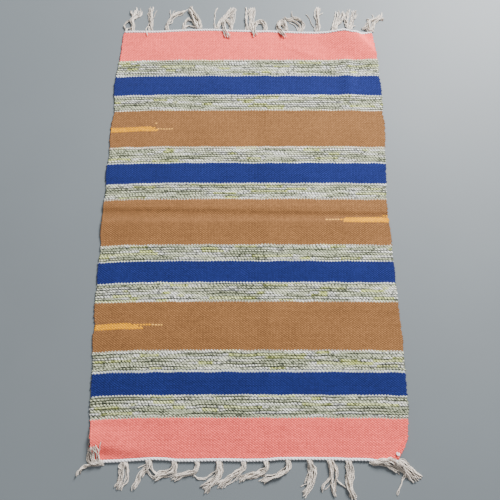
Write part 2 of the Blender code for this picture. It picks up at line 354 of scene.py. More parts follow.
# Chance values: one for each bead and one for each row of beads.
bead_chance = add_node(
    tree, "ShaderNodeTexWhiteNoise", {"noise_dimensions": "2D"}, {"Vector": bead.outputs["Vector"]},
)
row_only = add_node(
    tree, "ShaderNodeVectorMath", {"operation": "MULTIPLY", 1: (0.0, 1.0, 0.0)},
    {0: bead.outputs["Vector"]},
)
row_chance = add_node(
    tree, "ShaderNodeTexWhiteNoise", {"noise_dimensions": "2D"}, {"Vector": row_only.outputs["Vector"]},
)

# Blended rows: a loose two-ply of off-white and grey-green, which shows as fine slanted strokes,
# with single rows among them that run nearly white, lime or black for some centimetres, and
# single dark specks.
swayed_at = add_node(tree, "ShaderNodeSeparateXYZ", {}, {0: swayed.outputs["Vector"]})
bending = add_node(
    tree, "ShaderNodeVectorMath", {"operation": "MULTIPLY", 1: BENDS_PER_METRE},
    {0: swayed.outputs["Vector"]},
)
bending = add_node(
    tree, "ShaderNodeTexNoise", {"noise_dimensions": "2D", "Scale": 1.0, "Detail": 1.0},
    {"Vector": bending.outputs["Vector"]},
)
slanted = add_node(
    tree, "ShaderNodeVectorMath",
    {"operation": "DOT_PRODUCT", 1: (1.0 / STROKE_PITCH, 0.8 / STROKE_PITCH, 0.0)},
    {0: swayed.outputs["Vector"]},
)
slanted = add_node(
    tree, "ShaderNodeMath", {"operation": "MULTIPLY_ADD", 1: 2.0},
    {0: bending.outputs["Fac"], 2: slanted.outputs["Value"]},
)
slanted = add_node(tree, "ShaderNodeMath", {"operation": "PINGPONG", 1: 0.5}, {0: slanted.outputs[0]})
stroke = add_node(
    tree, "ShaderNodeMapRange", {"From Min": 0.19, "From Max": 0.25, "To Min": 0.7, "To Max": 0.0},
    {"Value": slanted.outputs[0]},
)
row_place = add_node(
    tree, "ShaderNodeVectorMath", {"operation": "SNAP", 1: (STROKE_PITCH / 2.0, ROW_HEIGHT, 1.0)},
    {0: swayed.outputs["Vector"]},
)
streaks = []
for over, detail in ((17.3, 2.0), (41.9, 1.0)):
    stretched = add_node(
        tree, "ShaderNodeVectorMath",
        {"operation": "MULTIPLY", 1: (STREAKS_PER_METRE, over / ROW_HEIGHT, 0.0)},
        {0: row_place.outputs["Vector"]},
    )
    streaks.append(add_node(
        tree, "ShaderNodeTexNoise", {"noise_dimensions": "2D", "Scale": 1.0, "Detail": detail},
        {"Vector": stretched.outputs["Vector"]},
    ))
row_colour = add_node(tree, "ShaderNodeValToRGB", {}, {"Fac": streaks[1].outputs["Fac"]})
row_colour.color_ramp.elements.remove(row_colour.color_ramp.elements[-1])
row_colour.color_ramp.elements[0].position = 0.30
row_colour.color_ramp.elements[0].color = paint("#B7BD9C")
for place, code in (
    (0.42, "#CDD2AE"), (0.50, "#E6E9CA"), (0.56, "#FBFBF0"), (0.61, "#FCFCF4"), (0.64, "#DCE57C"),
    (0.70, "#E4EAA8"),
):
    row_colour.color_ramp.elements.new(place).color = paint(code)
plies = add_node(
    tree, "ShaderNodeMix", {"data_type": "RGBA", 7: paint("#434A3E")},
    {0: stroke.outputs["Result"], 6: row_colour.outputs["Color"]},
)
in_row = add_node(
    tree, "ShaderNodeMath", {"operation": "MULTIPLY", 1: 1.0 / ROW_HEIGHT},
    {0: swayed_at.outputs["Y"]},
)
in_row = add_node(tree, "ShaderNodeMath", {"operation": "FRACT"}, {0: in_row.outputs[0]})
line_height = add_node(
    tree, "ShaderNodeMapRange", {"From Min": 0.33, "From Max": 0.60, "To Min": 0.06, "To Max": 0.56},
    {"Value": streaks[0].outputs["Fac"]},
)
line = add_node(
    tree, "ShaderNodeMath", {"operation": "LESS_THAN"},
    {0: in_row.outputs[0], 1: line_height.outputs["Result"]},
)
line = add_node(tree, "ShaderNodeMath", {"operation": "MULTIPLY", 1: 0.83}, {0: line.outputs[0]})
blend = add_node(
    tree, "ShaderNodeMix", {"data_type": "RGBA", 7: paint("#121412")},
    {0: line.outputs[0], 6: plies.outputs[2]},
)
speck_place = add_node(
    tree, "ShaderNodeVectorMath",
    {"operation": "SNAP", 1: (STROKE_PITCH / 2.0, ROW_HEIGHT / 2.0, 1.0)},
    {0: swayed.outputs["Vector"]},
)
speck = add_node(
    tree, "ShaderNodeTexWhiteNoise", {"noise_dimensions": "2D"},
    {"Vector": speck_place.outputs["Vector"]},
)
speck = add_node(tree, "ShaderNodeMath", {"operation": "LESS_THAN", 1: 0.18}, {0: speck.outputs["Value"]})
speck = add_node(tree, "ShaderNodeMath", {"operation": "MULTIPLY", 1: 0.72}, {0: speck.outputs[0]})
blend = add_node(
    tree, "ShaderNodeMix", {"data_type": "RGBA", 7: paint("#1C211C")},
    {0: speck.outputs[0], 6: blend.outputs[2]},
)

# The blend's first row beside blue is a cool white, and beside pink or tan a cream.
colour = blend
for beside, margin_colour in (("blue", "#E2E8F4"), ("warm", "#EEDCC4")):
    for yarn, low, high in STRIPES:
        if yarn == "blend" or (yarn == "blue") != (beside == "blue"):
            continue
        near_stripe = add_node(
            tree, "ShaderNodeMath",
            {"operation": "COMPARE", 1: (low + high) / 2 * MM, 2: (high - low) / 2 * MM + MARGIN_WIDTH},
            {0: bead_at.outputs["Y"]},
        )
        near_stripe = add_node(
            tree, "ShaderNodeMath", {"operation": "MULTIPLY", 1: 0.45}, {0: near_stripe.outputs[0]},
        )
        colour = add_node(
            tree, "ShaderNodeMix", {"data_type": "RGBA", 7: paint(margin_colour)},
            {0: near_stripe.outputs[0], 6: colour.outputs[2]},
        )

# The plain stripes, then the short rows over them.
for yarn, low, high in STRIPES:
    if yarn == "blend":
        continue
    inside = add_node(
        tree, "ShaderNodeMath",
        {"operation": "COMPARE", 1: (low + high) / 2 * MM, 2: (high - low) / 2 * MM},
        {0: bead_at.outputs["Y"]},
    )
    colour = add_node(
        tree, "ShaderNodeMix", {"data_type": "RGBA", 7: paint(YARN_COLOURS[yarn])},
        {0: inside.outputs[0], 6: colour.outputs[2]},
    )
for yarn, row, start, stop in SHORT_ROWS:
    in_row = add_node(
        tree, "ShaderNodeMath", {"operation": "COMPARE", 1: row * MM, 2: SHORT_ROW_HALF},
        {0: bead_at.outputs["Y"]},
    )
    in_run = add_node(
        tree, "ShaderNodeMath",
        {"operation": "COMPARE", 1: (start + stop) / 2 * MM, 2: (stop - start) / 2 * MM},
        {0: bead_at.outputs["X"]},
    )
    both = add_node(
        tree, "ShaderNodeMath", {"operation": "MULTIPLY"}, {0: in_row.outputs[0], 1: in_run.outputs[0]},
    )
    colour = add_node(
        tree, "ShaderNodeMix", {"data_type": "RGBA", 7: paint(YARN_COLOURS[yarn])},
        {0: both.outputs[0], 6: colour.outputs[2]},
    )

# Beads, rows and broad patches differ a little in tone, the pits between beads are painted
# darker as shade, and the second set of beads is drawn a little darker.
patches = add_node(
    tree, "ShaderNodeTexNoise", {"noise_dimensions": "2D", "Scale": PATCHES_PER_METRE, "Detail": 3.0},
    {"Vector": woven.outputs["UV"]},
)
grain = add_node(
    tree, "ShaderNodeTexNoise", {"noise_dimensions": "2D", "Scale": GRAINS_PER_METRE, "Detail": 2.0},
    {"Vector": woven.outputs["UV"]},
)
across_bead = add_node(tree, "ShaderNodeVectorMath", {"operation": "ABSOLUTE"}, {0: in_bead.outputs[1]})
fall = add_node(
    tree, "ShaderNodeVectorMath", {"operation": "DOT_PRODUCT", 1: (2.0, 2.0, 0.0)},
    {0: across_bead.outputs["Vector"]},
)
fall = add_node(tree, "ShaderNodeMath", {"operation": "POWER", 1: 2.0}, {0: fall.outputs["Value"]})
# Painted shade darkens the colour towards each bead's rim, in the pits between beads; the second set of
# beads is drawn a little darker as well.
pit_shade_and_second_set = add_node(
    tree, "ShaderNodeMath", {"operation": "MULTIPLY_ADD", 1: 0.5},
    {0: nearer.outputs[0], 2: fall.outputs[0]},
)
value = add_node(
    tree, "ShaderNodeMath", {"operation": "MULTIPLY_ADD", 1: -0.26, 2: 0.745}, {0: pit_shade_and_second_set.outputs[0]},
)
for chance, amount in (
    (bead_chance.outputs["Value"], 0.22), (row_chance.outputs["Value"], 0.12),
    (patches.outputs["Fac"], 0.26), (grain.outputs["Fac"], 0.30),
):
    value = add_node(
        tree, "ShaderNodeMath", {"operation": "MULTIPLY_ADD", 1: amount},
        {0: chance, 2: value.outputs[0]},
    )
toned = add_node(
    tree, "ShaderNodeHueSaturation", {"Hue": 0.5},
    {"Value": value.outputs[0], "Color": colour.outputs[2]},
)
tree.links.new(toned.outputs["Color"], shader.inputs["Base Color"])
rounded = add_node(tree, "ShaderNodeMath", {"operation": "SUBTRACT", 0: 1.0}, {1: fall.outputs[0]})
relief = add_node(
    tree, "ShaderNodeBump", {"Strength": 1.0, "Distance": BEAD_RELIEF}, {"Height": rounded.outputs[0]},
)
tree.links.new(relief.outputs["Normal"], shader.inputs["Normal"])

bm = bmesh.new()
bmesh.ops.create_grid(bm, x_segments=CLOTH_CELLS_ACROSS, y_segments=CLOTH_CELLS_ALONG, size=1.0)
for vertex in bm.verts:
    x, y = cloth_place(vertex.co.x, vertex.co.y)
    vertex.co = (x, y, lift(x, y))
raised = bmesh.ops.extrude_face_region(bm, geom=bm.faces[:])["geom"]
corners = [item for item in raised if isinstance(item, bmesh.types.BMVert)]
bmesh.ops.translate(bm, verts=corners, vec=(0.0, 0.0, CLOTH_THICKNESS))
bmesh.ops.recalc_face_normals(bm, faces=bm.faces)
for edge in bm.edges:
    edge.smooth = edge.calc_face_angle() < RIM_ANGLE
layer = bm.loops.layers.uv.new("weave")
for face in bm.faces:
    for loop in face.loops:
        loop[layer].uv = weave_place(loop.vert.co.x, loop.vert.co.y)
cloth = add_piece("cloth", bm, weave_finish, True)
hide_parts("rug_field")
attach(cloth, "root")


# The headings. Each end is locked by two white cotton cords twined round each other, five
# millimetres wide, which grip the warps as they leave the cloth. The near ones finish in a
# small knot on the turned-up corner.
HEADING_WIDTH = 5.4 * MM
PIECE_GAP = 0.3 * MM
CORD_THICKNESS = 3.5 * MM
CORD_MIDDLE = 2.3 * MM
CORD_STEP = 1.2 * MM
TWINE_PITCH = 12.3 * MM
TWINE_SWING = 1.25 * MM
TWINE_BOB = 0.75 * MM
KNOT_PLACE = (280.5 * MM, -466.0 * MM)
KNOT_REACH = (1.5 * MM, 2.1 * MM)
KNOT_THICKNESS = 3.4 * MM
KNOT_COIL_STEPS = 11
KNOT_STEPS = 24
MERGE_DISTANCE = 0.005 * MM


def spin_yarn(bm, layer, path, thickness, sides, flat=1.0, number=0):
    """Rolls a narrow grid round a path into a yarn with closed ends, mapped from that metre on."""
    last = len(path) - 1
    made = bmesh.ops.create_grid(bm, x_segments=sides, y_segments=last, size=1.0)
    run = [float(number)]
    for before, after in zip(path, path[1:]):
        run.append(run[-1] + (after - before).length)
    around = {}
    for vertex in made["verts"]:
        column = round((vertex.co.x + 1.0) / 2.0 * sides)
        row = round((vertex.co.y + 1.0) / 2.0 * last)
        around[vertex] = (column / sides, run[row])
        way = (path[min(row + 1, last)] - path[max(row - 1, 0)]).normalized()
        side = way.cross(Vector((0.0, 0.0, 1.0))).normalized()
        up = side.cross(way)
        radius = 0.0 if row in (0, last) else thickness / 2.0
        angle = math.tau * column / sides
        vertex.co = path[row] + side * math.cos(angle) * radius
        vertex.co += up * math.sin(angle) * radius * flat
    for face in {face for vertex in made["verts"] for face in vertex.link_faces}:
        for loop in face.loops:
            loop[layer].uv = around[loop.vert]


def add_spun_piece(name, bm, finish):
    """Closes the seams and tips of spun yarns, and makes them one piece."""
    bmesh.ops.remove_doubles(bm, verts=bm.verts, dist=MERGE_DISTANCE)
    bmesh.ops.recalc_face_normals(bm, faces=bm.faces)
    return add_piece(name, bm, finish, True)


YARN_CLOUDS_PER_METRE = 90.0
PLY_RELIEF = 0.3 * MM


def yarn_finish(name, light, dark, roughness, ply_pitch, plies, uneven):
    """Makes plied cotton: slanted plies with painted shade in the grooves, cloudy patches, and a tone for
    each yarn.
    """
    made, tree, shader = start_finish(name, roughness, 0.15)
    spun = add_node(tree, "ShaderNodeUVMap", {"uv_map": "yarn"})
    turned = add_node(
        tree, "ShaderNodeVectorMath", {"operation": "DOT_PRODUCT", 1: (plies, 1.0 / ply_pitch, 0.0)},
        {0: spun.outputs["UV"]},
    )
    share = add_node(tree, "ShaderNodeMath", {"operation": "FRACT"}, {0: turned.outputs["Value"]})
    bent = add_node(tree, "ShaderNodeMath", {"operation": "MULTIPLY", 1: math.pi}, {0: share.outputs[0]})
    ply = add_node(tree, "ShaderNodeMath", {"operation": "SINE"}, {0: bent.outputs[0]})
    where = add_node(tree, "ShaderNodeTexCoord")
    clouds = add_node(
        tree, "ShaderNodeTexNoise", {"Scale": YARN_CLOUDS_PER_METRE, "Detail": 3.0},
        {"Vector": where.outputs["Object"]},
    )
    # Painted shade: the colour darkens in each ply groove, and cloudy patches and single yarns run towards
    # the dark end, which stands in for shade among the yarns.
    shade_and_tone = add_node(
        tree, "ShaderNodeMath", {"operation": "MULTIPLY_ADD", 1: 0.5},
        {0: ply.outputs[0], 2: clouds.outputs["Fac"]},
    )
    spun_at = add_node(tree, "ShaderNodeSeparateXYZ", {}, {0: spun.outputs["UV"]})
    strand = add_node(tree, "ShaderNodeMath", {"operation": "FLOOR"}, {0: spun_at.outputs["Y"]})
    luck = add_node(
        tree, "ShaderNodeTexWhiteNoise", {"noise_dimensions": "1D"}, {"W": strand.outputs[0]},
    )
    shade_and_tone = add_node(
        tree, "ShaderNodeMath", {"operation": "MULTIPLY_ADD", 1: uneven},
        {0: luck.outputs["Value"], 2: shade_and_tone.outputs[0]},
    )
    shade_and_tone = add_node(
        tree, "ShaderNodeMath", {"operation": "MULTIPLY_ADD", 1: 0.9, 2: -0.35}, {0: shade_and_tone.outputs[0]},
    )
    tone = add_node(
        tree, "ShaderNodeMix", {"data_type": "RGBA", 6: paint(dark), 7: paint(light)},
        {0: shade_and_tone.outputs[0]},
    )
    tree.links.new(tone.outputs[2], shader.inputs["Base Color"])
    bump = add_node(
        tree, "ShaderNodeBump", {"Strength": 0.8, "Distance": PLY_RELIEF}, {"Height": ply.outputs[0]},
    )
    tree.links.new(bump.outputs["Normal"], shader.inputs["Normal"])
    return made


# White mercerised cotton cord: smooth and a little brighter than the fringe.
# Its grey end is pale painted shade in the ply grooves, and also tints cloudy patches and single cords.
heading_finish = yarn_finish("white_cotton_cord", "#FFFEFF", "#E8E3E8", 0.8, 3.0 * MM, 2.0, 0.4)
for name, node, end in (
    ("heading_cord_far", "heading_far", 1),
    ("heading_cord_near", "heading_near", -1),
):
    bm = bmesh.new()
    layer = bm.loops.layers.uv.new("yarn")
    left = cloth_place(-1.0, end)[0]
    right = cloth_place(1.0, end)[0]
    sections = round((right - left) / CORD_STEP)
    for strand in (0.0, 0.5):
        path = []
        for count in range(sections + 1):
            x = left + (right - left) * count / sections
            turn = math.tau * ((x - left) / TWINE_PITCH + strand)
            y = cloth_end(x, end) + end * (PIECE_GAP + HEADING_WIDTH / 2.0)
            height = lift(x, y) + CORD_MIDDLE + math.sin(turn) * TWINE_BOB
            path.append(Vector((x, y + math.cos(turn) * TWINE_SWING, height)))
        spin_yarn(bm, layer, path, CORD_THICKNESS, 8, 0.85)
    if end < 0:
        path = []
        for step in range(KNOT_STEPS + 1):
            turn = math.tau * step / KNOT_COIL_STEPS
            x = KNOT_PLACE[0] + math.cos(turn) * KNOT_REACH[0]
            y = KNOT_PLACE[1] + math.sin(turn) * KNOT_REACH[1]
            path.append(Vector((x, y, lift(x, y) + CLOTH_THICKNESS + (0.8 + 0.06 * step) * MM)))
        spin_yarn(bm, layer, path, KNOT_THICKNESS, 8)
    cord = add_spun_piece(name, bm, heading_finish)
    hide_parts(node)
    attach(cord, "root")


# The selvages. At each edge the weft turns back round the last warp, and leaves a row of
# small rounded turns, uneven by a millimetre or two. The near right corner is rolled up.
TURN_PITCH = 4.5 * MM
TURN_REACH = 2.2 * MM
TURN_INSET = 2.4 * MM
TURN_THICKNESS = 2.5 * MM
TURN_STEPS = 6
ROLL_START = (299.5 * MM, -437.0 * MM)
ROLL_STOP = (279.0 * MM, -468.0 * MM)
ROLL_RISE = 0.8 * MM
ROLL_THICKNESS = 4.6 * MM
ROLL_STEPS = 12
chance = random.Random(4)
for name, side in (("selvage_left", -1.0), ("selvage_right", 1.0)):
    bm = bmesh.new()
    layer = bm.loops.layers.uv.new("weave")
    for count in range(round(2.0 * HALF_LENGTH / TURN_PITCH)):
        along = -HALF_LENGTH + TURN_PITCH * (count + 0.5 + chance.uniform(-0.18, 0.18))
        x, y = cloth_place(side, along / HALF_LENGTH)
        out = chance.uniform(-0.4, 2.2) * MM
        half = chance.uniform(1.15, 1.6) * MM
        height = lift(x, y) + CLOTH_THICKNESS / 2.0 + chance.uniform(0.0, 0.4) * MM
        path = []
        for step in range(TURN_STEPS + 1):
            angle = math.pi * (step / TURN_STEPS - 0.5)
            reach = math.cos(angle) * (TURN_REACH + out) - TURN_INSET
            path.append(Vector((x + side * reach, y + math.sin(angle) * half, height)))
        spin_yarn(bm, layer, path, TURN_THICKNESS, 6)
    if side > 0.0:
        path = []
        for step in range(ROLL_STEPS + 1):
            x = ROLL_START[0] + (ROLL_STOP[0] - ROLL_START[0]) * step / ROLL_STEPS
            y = ROLL_START[1] + (ROLL_STOP[1] - ROLL_START[1]) * step / ROLL_STEPS
            path.append(Vector((x, y, lift(x, y) + CLOTH_THICKNESS + ROLL_RISE)))
        spin_yarn(bm, layer, path, ROLL_THICKNESS, 10)
    bmesh.ops.remove_doubles(bm, verts=bm.verts, dist=MERGE_DISTANCE)
    for face in bm.faces:
        for loop in face.loops:
            loop[layer].uv = weave_place(loop.vert.co.x, loop.vert.co.y)
    edge = add_spun_piece(name, bm, weave_finish)
    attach(edge, "root")


# The tassels. The warps' own ends, plied cotton yarns, are drawn together into a neck against
# the heading. They part into a few locks, which lie loose on the floor, the rug and each other.

# Locks in millimetres: yarns, width at the root and the tip, place of the root, then the places
# that the lock runs through.
FAR_TASSELS = [
    [
        (4, 4, 6, -291, (-298, 486), (-298, 494), (-291, 502), (-283, 507), (-280, 518), (-284, 530),
         (-287, 539)),
        (5, 5, 7, -277, (-276, 489), (-279, 497), (-282, 505), (-278, 517), (-274, 530), (-272, 546)),
        (3, 4, 7, -283, (-280, 492), (-281, 504), (-277, 514), (-269, 524), (-264, 534), (-260, 543)),
        (3, 3, 5, -279, (-278, 494), (-278, 506), (-270, 515), (-262, 522), (-257, 534)),
        (2, 2, 3, -294, (-290, 483), (-280, 483), (-276, 490), (-279, 503), (-276, 518), (-278, 536)),
    ],
    [
        (7, 10, 9, -236, (-236, 495), (-237, 510), (-238, 525), (-237, 540), (-237, 548)),
        (4, 6, 5, -233, (-233, 495), (-234, 510), (-236, 525), (-234, 538), (-236, 549)),
        (1, 1, 1, -231, (-231, 503), (-229, 519), (-226, 529), (-222, 536)),
        (1, 1, 1, -238, (-241, 486), (-244, 489), (-245, 478), (-243, 466), (-242, 453)),
    ],
    [
        (6, 9, 8, -196, (-197, 490), (-193, 500), (-188, 511), (-181, 522), (-170, 527), (-160, 529),
         (-149, 536)),
        (4, 5, 6, -193, (-194, 492), (-189, 502), (-184, 514), (-175, 523), (-162, 526), (-150, 541)),
        (1, 1, 1, -197, (-196, 495), (-187, 515), (-189, 531), (-187, 541)),
        (1, 1, 1, -194, (-191, 500), (-184, 518), (-182, 530), (-176, 537)),
    ],
    [
        (4, 6, 5, -157, (-156, 495), (-152, 504), (-146, 508), (-138, 505), (-132, 499), (-126, 492),
         (-120, 488)),
        (3, 4, 4, -154, (-151, 488), (-146, 491), (-137, 490), (-128, 488), (-120, 486)),
        (2, 3, 3, -155, (-152, 492), (-151, 503), (-145, 509), (-139, 513)),
    ],
    [
        (9, 12, 10, -119, (-119, 492), (-122, 505), (-128, 517), (-134, 528), (-141, 539), (-146, 547)),
        (6, 7, 6, -122, (-127, 492), (-131, 502), (-136, 515), (-141, 527), (-147, 540)),
    ],
    [
        (2, 2, 3, -80, (-83, 492), (-83, 506), (-82, 518), (-80, 530), (-76, 541), (-71, 549)),
        (8, 10, 9, -77, (-75, 490), (-69, 502), (-61, 511), (-53, 520), (-46, 531), (-39, 545)),
        (4, 4, 5, -75, (-71, 494), (-63, 505), (-55, 514), (-47, 523), (-40, 533), (-33, 543)),
    ],
    [
        (4, 6, 5, -43, (-41, 492), (-41, 505), (-42, 516), (-38, 528), (-35, 540), (-38, 548)),
        (2, 3, 3, -41, (-38, 495), (-37, 510), (-35, 521), (-33, 531), (-31, 541)),
        (7, 6, 11, -44, (-44, 492), (-48, 503), (-55, 507), (-61, 502), (-61, 490), (-58, 478),
         (-53, 467), (-48, 458),
         (-44, 451)),
    ],
    [
        (6, 8, 8, -6, (-6, 495), (-6, 515), (-5, 535), (-6, 547)),
        (7, 9, 10, 5, (4, 495), (5, 515), (7, 535), (8, 548)),
        (2, 2, 3, 9, (11, 500), (12, 520), (13, 543)),
    ],
    [
        (6, 9, 7, 38, (40, 488), (38, 497), (30, 502), (22, 500), (16, 493), (12, 484), (11, 474),
         (12, 464), (14, 455)),
        (3, 4, 6, 37, (37, 490), (33, 498), (24, 503), (14, 498), (9, 489), (8, 476), (9, 462),
         (9, 454)),
        (2, 2, 3, 35, (40, 494), (32, 505), (21, 504), (17, 492), (15, 478), (18, 463), (21, 452)),
        (1, 1, 1, 40, (41, 492), (30, 504), (18, 500), (9, 489), (4, 480)),
    ],
    [
        (3, 4, 3, 91, (90, 490), (88, 507), (86, 514)),
        (7, 9, 8, 88, (88, 492), (84, 501), (77, 502), (71, 496), (70, 487), (73, 478), (79, 469),
         (81, 460), (84, 451)),
        (5, 7, 7, 86, (84, 490), (79, 497), (74, 492), (73, 483), (77, 474), (82, 465), (86, 454)),
        (3, 4, 4, 90, (86, 497), (76, 504), (69, 500), (67, 488), (70, 478)),
    ],
    [
        (5, 7, 5, 124, (130, 490), (128, 502), (121, 510), (112, 514), (102, 512), (92, 509),
         (85, 514), (81, 521)),
        (4, 4, 3, 122, (121, 489), (117, 497), (110, 503), (100, 506), (91, 502)),
        (1, 1, 1, 119, (112, 490), (105, 499), (98, 500), (92, 494)),
        (2, 2, 2, 126, (129, 498), (121, 508), (108, 514), (103, 526), (106, 537)),
    ],
    [
        (8, 11, 9, 163, (165, 490), (164, 505), (164, 520), (165, 535), (168, 549)),
        (3, 4, 4, 166, (167, 495), (166, 510), (168, 525), (171, 537), (173, 547)),
        (1, 1, 1, 159, (154, 491), (150, 502), (143, 516), (135, 529)),
        (1, 1, 1, 167, (168, 495), (168, 512), (172, 523), (177, 529), (182, 536)),
    ],
    [
        (6, 8, 8, 201, (203, 492), (207, 503), (211, 518), (213, 530), (214, 539)),
        (6, 7, 9, 205, (209, 492), (216, 503), (222, 515), (227, 526), (229, 533)),
        (3, 4, 5, 207, (214, 494), (222, 504), (230, 517), (237, 531)),
        (1, 1, 1, 203, (206, 497), (214, 510), (219, 524), (220, 536)),
    ],
    [
        (6, 8, 8, 238, (236, 494), (235, 509), (238, 524), (242, 541)),
        (6, 7, 8, 240, (246, 497), (250, 513), (253, 527), (257, 539)),
        (3, 4, 3, 236, (232, 498), (228, 514), (226, 533)),
        (1, 1, 1, 241, (245, 503), (256, 514), (260, 525), (257, 532)),
        (1, 1, 1, 242, (247, 485), (254, 491), (259, 489)),
    ],
    [
        (5, 7, 6, 287, (279, 484), (281, 491), (288, 498), (289, 506), (284, 509), (278, 505)),
        (5, 7, 6, 291, (287, 487), (287, 497), (292, 503), (300, 507), (309, 514), (317, 520),
         (320, 531)),
        (6, 8, 7, 293, (297, 490), (303, 501), (311, 508), (321, 511), (326, 507)),
        (1, 1, 1, 290, (289, 498), (297, 508), (300, 518), (295, 530)),
        (2, 2, 2, 285, (277, 484), (268, 487)),
        (3, 4, 4, 289, (283, 482), (275, 483), (266, 480)),
    ],
]
NEAR_TASSELS = [
    [
        (8, 9, 6, -273, (-282, -484), (-295, -485), (-307, -488), (-316, -495), (-322, -506)),
        (4, 5, 3, -272, (-285, -481), (-290, -474), (-291, -460), (-293, -449)),
        (4, 5, 4, -274, (-290, -483), (-300, -481), (-304, -474), (-301, -464), (-297, -455),
         (-294, -448)),
        (5, 7, 4, -275, (-288, -479), (-296, -471), (-297, -459), (-295, -450)),
        (5, 6, 4, -271, (-280, -479), (-284, -468), (-287, -457), (-290, -449)),
        (1, 1, 1, -276, (-298, -479), (-302, -468), (-304, -458), (-303, -449), (-301, -442),
         (-307, -436),
         (-304, -428), (-302, -421), (-305, -413)),
        (1, 1, 1, -274, (-278, -480), (-281, -466), (-280, -452), (-277, -442)),
    ],
    [
        (5, 7, 8, -236, (-239, -492), (-240, -505), (-243, -517), (-249, -529)),
        (4, 5, 6, -231, (-227, -490), (-227, -503), (-229, -514), (-236, -523), (-241, -530)),
        (3, 4, 6, -233, (-234, -495), (-235, -508), (-239, -518), (-245, -529)),
        (1, 1, 1, -237, (-243, -486), (-244, -490), (-238, -494), (-238, -505)),
    ],
    [
        (7, 8, 8, -188, (-188, -488), (-197, -495), (-204, -505), (-208, -515), (-214, -525),
         (-217, -533)),
        (3, 3, 5, -184, (-183, -489), (-177, -497), (-168, -500), (-158, -501), (-150, -505)),
        (2, 3, 3, -186, (-189, -493), (-187, -501), (-180, -507), (-172, -508), (-163, -505)),
        (1, 1, 1, -189, (-193, -484), (-201, -487), (-208, -491), (-210, -497)),
        (2, 2, 2, -186, (-188, -490), (-195, -498), (-197, -506), (-201, -511)),
    ],
    [
        (6, 7, 7, -140, (-138, -487), (-140, -496), (-148, -501), (-158, -504), (-168, -508),
         (-177, -516)),
        (3, 4, 4, -141, (-143, -490), (-152, -497), (-163, -498), (-172, -502), (-178, -509)),
        (2, 2, 4, -138, (-136, -488), (-137, -500), (-143, -508), (-150, -513)),
    ],
    [
        (7, 8, 9, -97, (-95, -488), (-99, -496), (-108, -500), (-120, -502), (-132, -508), (-144, -513)),
        (3, 3, 4, -96, (-98, -490), (-106, -497), (-118, -499), (-130, -502), (-142, -505)),
        (1, 1, 1, -99, (-98, -490), (-102, -500), (-107, -509)),
    ],
    [
        (7, 9, 10, -56, (-53, -488), (-53, -499), (-58, -509), (-67, -516), (-77, -522), (-88, -529)),
        (4, 5, 6, -57, (-56, -492), (-57, -504), (-64, -515), (-74, -525), (-80, -535), (-83, -540)),
        (3, 4, 4, -58, (-58, -494), (-61, -504), (-72, -512), (-83, -519), (-94, -526)),
        (2, 1, 2, -59, (-59, -494), (-67, -500), (-74, -506), (-82, -509), (-92, -509), (-99, -505),
         (-104, -500)),
        (1, 1, 1, -53, (-52, -494), (-55, -509), (-66, -520), (-72, -531)),
    ],
    [
        (6, 7, 9, -10, (-9, -488), (-14, -494), (-24, -500), (-34, -507), (-46, -514), (-55, -519),
         (-62, -528)),
        (5, 5, 8, -9, (-8, -489), (-15, -497), (-26, -504), (-36, -511), (-45, -517), (-52, -528)),
    ],
    [
        (5, 7, 6, 33, (35, -488), (30, -496), (18, -500), (5, -500), (-6, -504), (-16, -511),
         (-22, -518)),
        (4, 5, 5, 31, (33, -490), (23, -493), (15, -498), (8, -505), (-4, -508), (-13, -513),
         (-20, -517)),
        (2, 2, 3, 34, (36, -491), (28, -500), (16, -506), (4, -508), (-6, -513)),
    ],
    [
        (6, 8, 8, 74, (76, -487), (72, -494), (62, -500), (52, -503), (42, -506), (32, -509),
         (22, -513), (16, -515)),
        (4, 4, 6, 73, (74, -489), (68, -498), (56, -504), (44, -508), (33, -513), (24, -518)),
        (1, 1, 1, 71, (71, -487), (62, -492), (56, -498), (48, -505), (36, -512)),
    ],
    [
        (5, 6, 6, 114, (120, -484), (124, -493), (123, -505), (119, -516), (113, -526), (105, -535),
         (99, -541)),
        (5, 5, 6, 112, (115, -490), (116, -502), (113, -513), (109, -523), (102, -533), (99, -540)),
        (2, 2, 2, 111, (114, -494), (110, -505), (106, -514), (104, -521)),
        (1, 1, 1, 113, (117, -493), (114, -511), (104, -520), (95, -523), (87, -525)),
    ],
    [
        (4, 4, 4, 155, (161, -485), (165, -495), (165, -505), (161, -514), (158, -527), (160, -541)),
        (4, 5, 5, 151, (156, -490), (157, -503), (155, -516), (157, -530), (161, -543)),
        (3, 4, 4, 149, (153, -495), (151, -506), (143, -514), (137, -523), (135, -536)),
        (2, 2, 2, 152, (155, -500), (149, -513), (141, -521), (137, -531)),
        (1, 1, 1, 150, (155, -505), (151, -519), (145, -526), (140, -531)),
        (2, 1, 2, 157, (163, -492), (163, -507), (170, -517), (178, -524), (186, -533)),
    ],
    [
        (7, 9, 10, 188, (188, -490), (187, -505), (187, -520), (191, -534), (196, -549)),
        (4, 6, 6, 190, (193, -492), (193, -505), (191, -520), (194, -535), (201, -548)),
        (3, 3, 4, 185, (184, -492), (183, -506), (182, -518), (186, -532), (188, -544)),
    ],
    [
        (8, 7, 10, 228, (235, -482), (246, -480), (258, -482), (270, -488), (280, -494), (288, -499)),
        (7, 6, 10, 232, (242, -478), (254, -476), (266, -478), (277, -486), (288, -495), (298, -506),
         (303, -514)),
        (3, 3, 4, 235, (247, -484), (260, -488), (270, -494), (278, -500)),
        (3, 4, 5, 240, (252, -475), (264, -474), (275, -479), (285, -489)),
    ],
    [
        (8, 12, 9, 281, (290, -481), (299, -490), (308, -498), (317, -505), (324, -510)),
        (7, 10, 9, 277, (284, -484), (293, -494), (301, -502), (308, -510), (313, -516)),
        (2, 3, 2, 279, (287, -487), (292, -496), (290, -505), (285, -516), (279, -528), (274, -541)),
        (1, 1, 1, 281, (289, -491), (295, -503), (297, -513)),
        (1, 1, 1, 286, (296, -483), (307, -492), (314, -500), (325, -505)),
    ],
]
YARN_THICKNESS = 1.7 * MM
YARN_STEP = 2.2 * MM
RUG_THICKNESS = 4.4 * MM
ROOT_OVERLAP = 1.0 * MM

